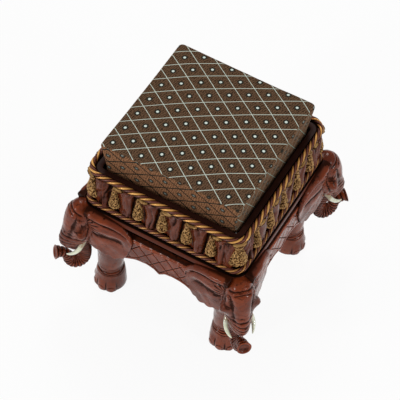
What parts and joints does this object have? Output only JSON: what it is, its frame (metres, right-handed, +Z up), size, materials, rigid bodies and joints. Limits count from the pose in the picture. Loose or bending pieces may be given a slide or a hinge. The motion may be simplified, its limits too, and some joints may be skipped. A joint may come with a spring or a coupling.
{
  "type": "upholstered footstool",
  "caption": "Square footstool with elephant-head corner legs, a carved drapery box with rope mouldings and tassels, and a drop-in patterned cushion.",
  "frame": {"origin": "on the floor, at the middle of the stool", "axes": "+Z up; +X and +Y square to the sides, with the picture's near side facing -Y"},
  "size_m": [0.4196, 0.4196, 0.43],
  "materials": {
    "carved_wood": "glossy reddish mahogany with near-black in the recesses",
    "gold_paint": "antiqued gold paint on carved wood",
    "rope_paint": "rope carving with gold and brown strands",
    "ivory_resin": "cream resin, polished",
    "plain_wood": "unfinished softwood",
    "plywood": "raw plywood",
    "steel": "zinc-plated",
    "upholstery": "ribbed brown weave with a pale diamond trellis and dots",
    "foam": "open-cell foam",
    "black_cloth": "thin non-woven cloth"
  },
  "bodies": {
    "base": {"apron_back": "carved_wood", "apron_front": "carved_wood", "apron_left": "carved_wood", "apron_right": "carved_wood", "base_moulding_back": "carved_wood", "base_moulding_front": "carved_wood", "base_moulding_left": "carved_wood", "base_moulding_right": "carved_wood", "corner_braces": "plain_wood", "corner_tassel_back_left": "gold_paint", "corner_tassel_back_right": "gold_paint", "corner_tassel_front_left": "gold_paint", "corner_tassel_front_right": "gold_paint", "drapery_back": "carved_wood", "drapery_front": "carved_wood", "drapery_left": "carved_wood", "drapery_right": "carved_wood", "ear_back_a": "carved_wood", "ear_back_b": "carved_wood", "ear_front_a": "carved_wood", "ear_front_b": "carved_wood", "ear_left_a": "carved_wood", "ear_left_b": "carved_wood", "ear_right_a": "carved_wood", "ear_right_b": "carved_wood", "head_back_left": "carved_wood", "head_back_right": "carved_wood", "head_front_left": "carved_wood", "head_front_right": "carved_wood", "leg_back_left": "carved_wood", "leg_back_right": "carved_wood", "leg_front_left": "carved_wood", "leg_front_right": "carved_wood", "leg_screws": "steel", "lower_rope": "rope_paint", "seat_cleat_back": "plain_wood", "seat_cleat_front": "plain_wood", "seat_cleat_left": "plain_wood", "seat_cleat_right": "plain_wood", "tassels_back": "gold_paint", "tassels_front": "gold_paint", "tassels_left": "gold_paint", "tassels_right": "gold_paint", "tusks_back_left": "ivory_resin", "tusks_back_right": "ivory_resin", "tusks_front_left": "ivory_resin", "tusks_front_right": "ivory_resin", "upper_rope": "rope_paint", "well_liner_back": "carved_wood", "well_liner_front": "carved_wood", "well_liner_left": "carved_wood", "well_liner_right": "carved_wood"},
    "seat": {"seat_cover": "upholstery", "seat_foam": "foam", "seat_board": "plywood", "dust_cloth": "black_cloth"}
  },
  "joints": [
    {"name": "seat_lift", "type": "slide", "parent": "base", "child": "seat", "axis": [0, 0, 1], "range_m": [0, 0.12]}
  ]
}
